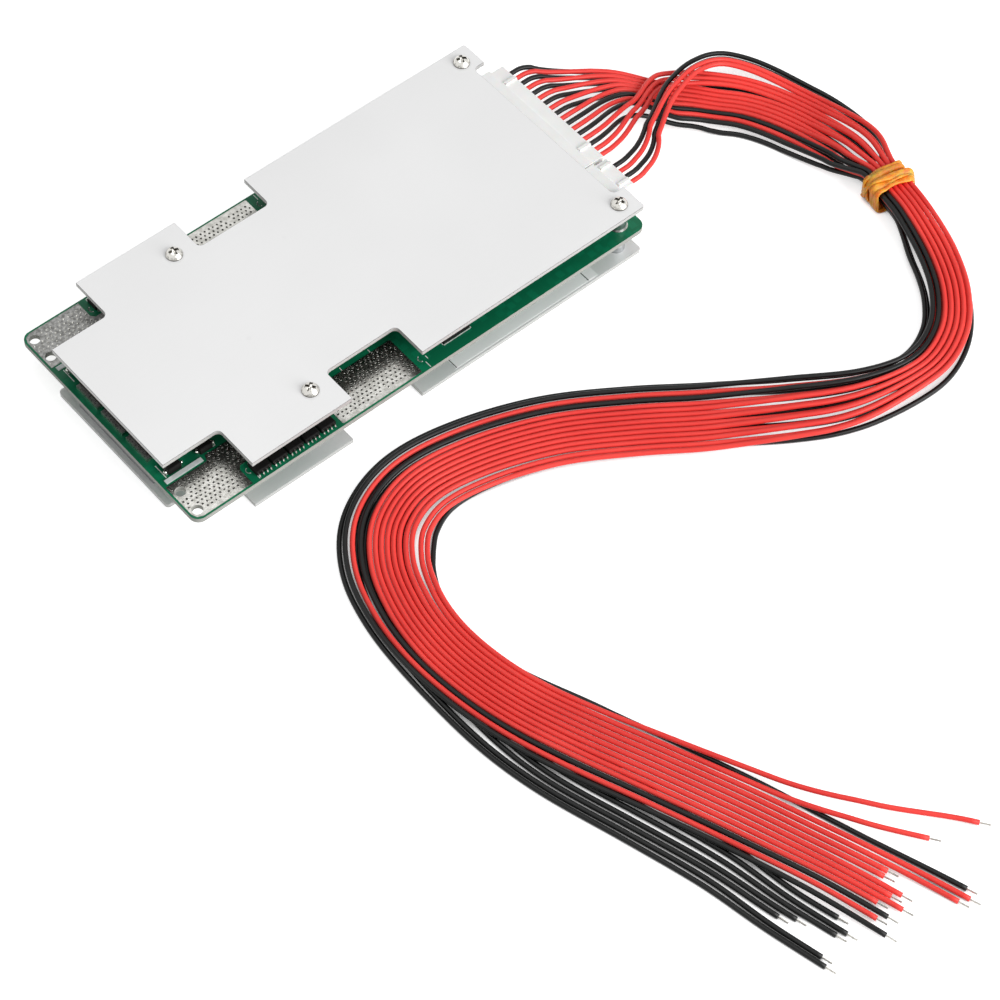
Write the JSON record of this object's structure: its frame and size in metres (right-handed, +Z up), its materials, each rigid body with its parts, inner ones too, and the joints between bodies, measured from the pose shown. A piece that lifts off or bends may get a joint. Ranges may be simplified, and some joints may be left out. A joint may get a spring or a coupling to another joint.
{
  "type": "battery management board",
  "caption": "Circuit board between two stamped metal plates, with plugs at one end and a loom of balance wires in a rubber band.",
  "frame": {"origin": "middle of the board with its plugs, on the surface that the lower plate lies on", "axes": "+X along the board towards the plugs, +Z up through the plates"},
  "size_m": [0.2428, 0.2904, 0.0221],
  "materials": {
    "satin_aluminium": "satin, fine rolling grain",
    "label_film": "matt sticker film",
    "thermal_pad": "soft silicone",
    "spacer_metal": "turned",
    "solder_mask": "green solder mask on glass laminate",
    "tinned_copper": "tinned copper",
    "chip_epoxy": "moulded epoxy",
    "tinned_lead": "tinned lead frame",
    "resistor_body": "glazed film on ceramic",
    "capacitor_ceramic": "fired ceramic",
    "connector_nylon": "natural nylon",
    "contact_tin": "tinned phosphor bronze",
    "screw_steel": "nickel plated",
    "tinned_strand": "tinned copper strands",
    "band_rubber": "natural rubber",
    "red_insulation": "smooth wire insulation",
    "black_insulation": "smooth wire insulation"
  },
  "bodies": {
    "root": {"bottom_plate": "satin_aluminium", "plate_label": "label_film", "lower_thermal_pad": "thermal_pad", "lower_spacers": "spacer_metal", "circuit_board": "solder_mask", "solder_pads_top": "tinned_copper", "solder_pads_bottom": "tinned_copper", "bus_strips": "tinned_copper", "power_transistors_top": "chip_epoxy", "transistor_leads_top": "tinned_lead", "power_transistors_bottom": "chip_epoxy", "transistor_leads_bottom": "tinned_lead", "driver_chips": "chip_epoxy", "driver_leads": "tinned_lead", "shunt_resistors": "resistor_body", "clamp_diodes": "chip_epoxy", "diode_ends": "tinned_lead", "monitor_chips": "chip_epoxy", "monitor_leads": "tinned_lead", "balance_resistors": "resistor_body", "balance_transistors": "chip_epoxy", "filter_capacitors": "capacitor_ceramic", "supply_inductor": "chip_epoxy", "header_long": "connector_nylon", "header_short": "connector_nylon", "header_pins": "contact_tin", "plug_long": "connector_nylon", "plug_short": "connector_nylon", "crimp_contacts": "contact_tin", "upper_thermal_pad": "thermal_pad", "upper_spacers": "spacer_metal", "top_plate": "satin_aluminium", "plate_screws": "screw_steel", "wire_01": "black_insulation", "wire_02": "red_insulation", "wire_03": "black_insulation", "wire_04": "red_insulation", "wire_05": "black_insulation", "wire_06": "red_insulation", "wire_07": "black_insulation", "wire_08": "red_insulation", "wire_09": "black_insulation", "wire_10": "red_insulation", "wire_11": "black_insulation", "wire_12": "red_insulation", "wire_13": "black_insulation", "wire_14": "red_insulation", "wire_15": "black_insulation", "wire_16": "red_insulation", "wire_17": "red_insulation", "wire_18": "black_insulation", "wire_19": "red_insulation", "wire_20": "black_insulation", "wire_21": "red_insulation", "wire_tips": "tinned_strand", "rubber_band": "band_rubber"}
  },
  "joints": []
}
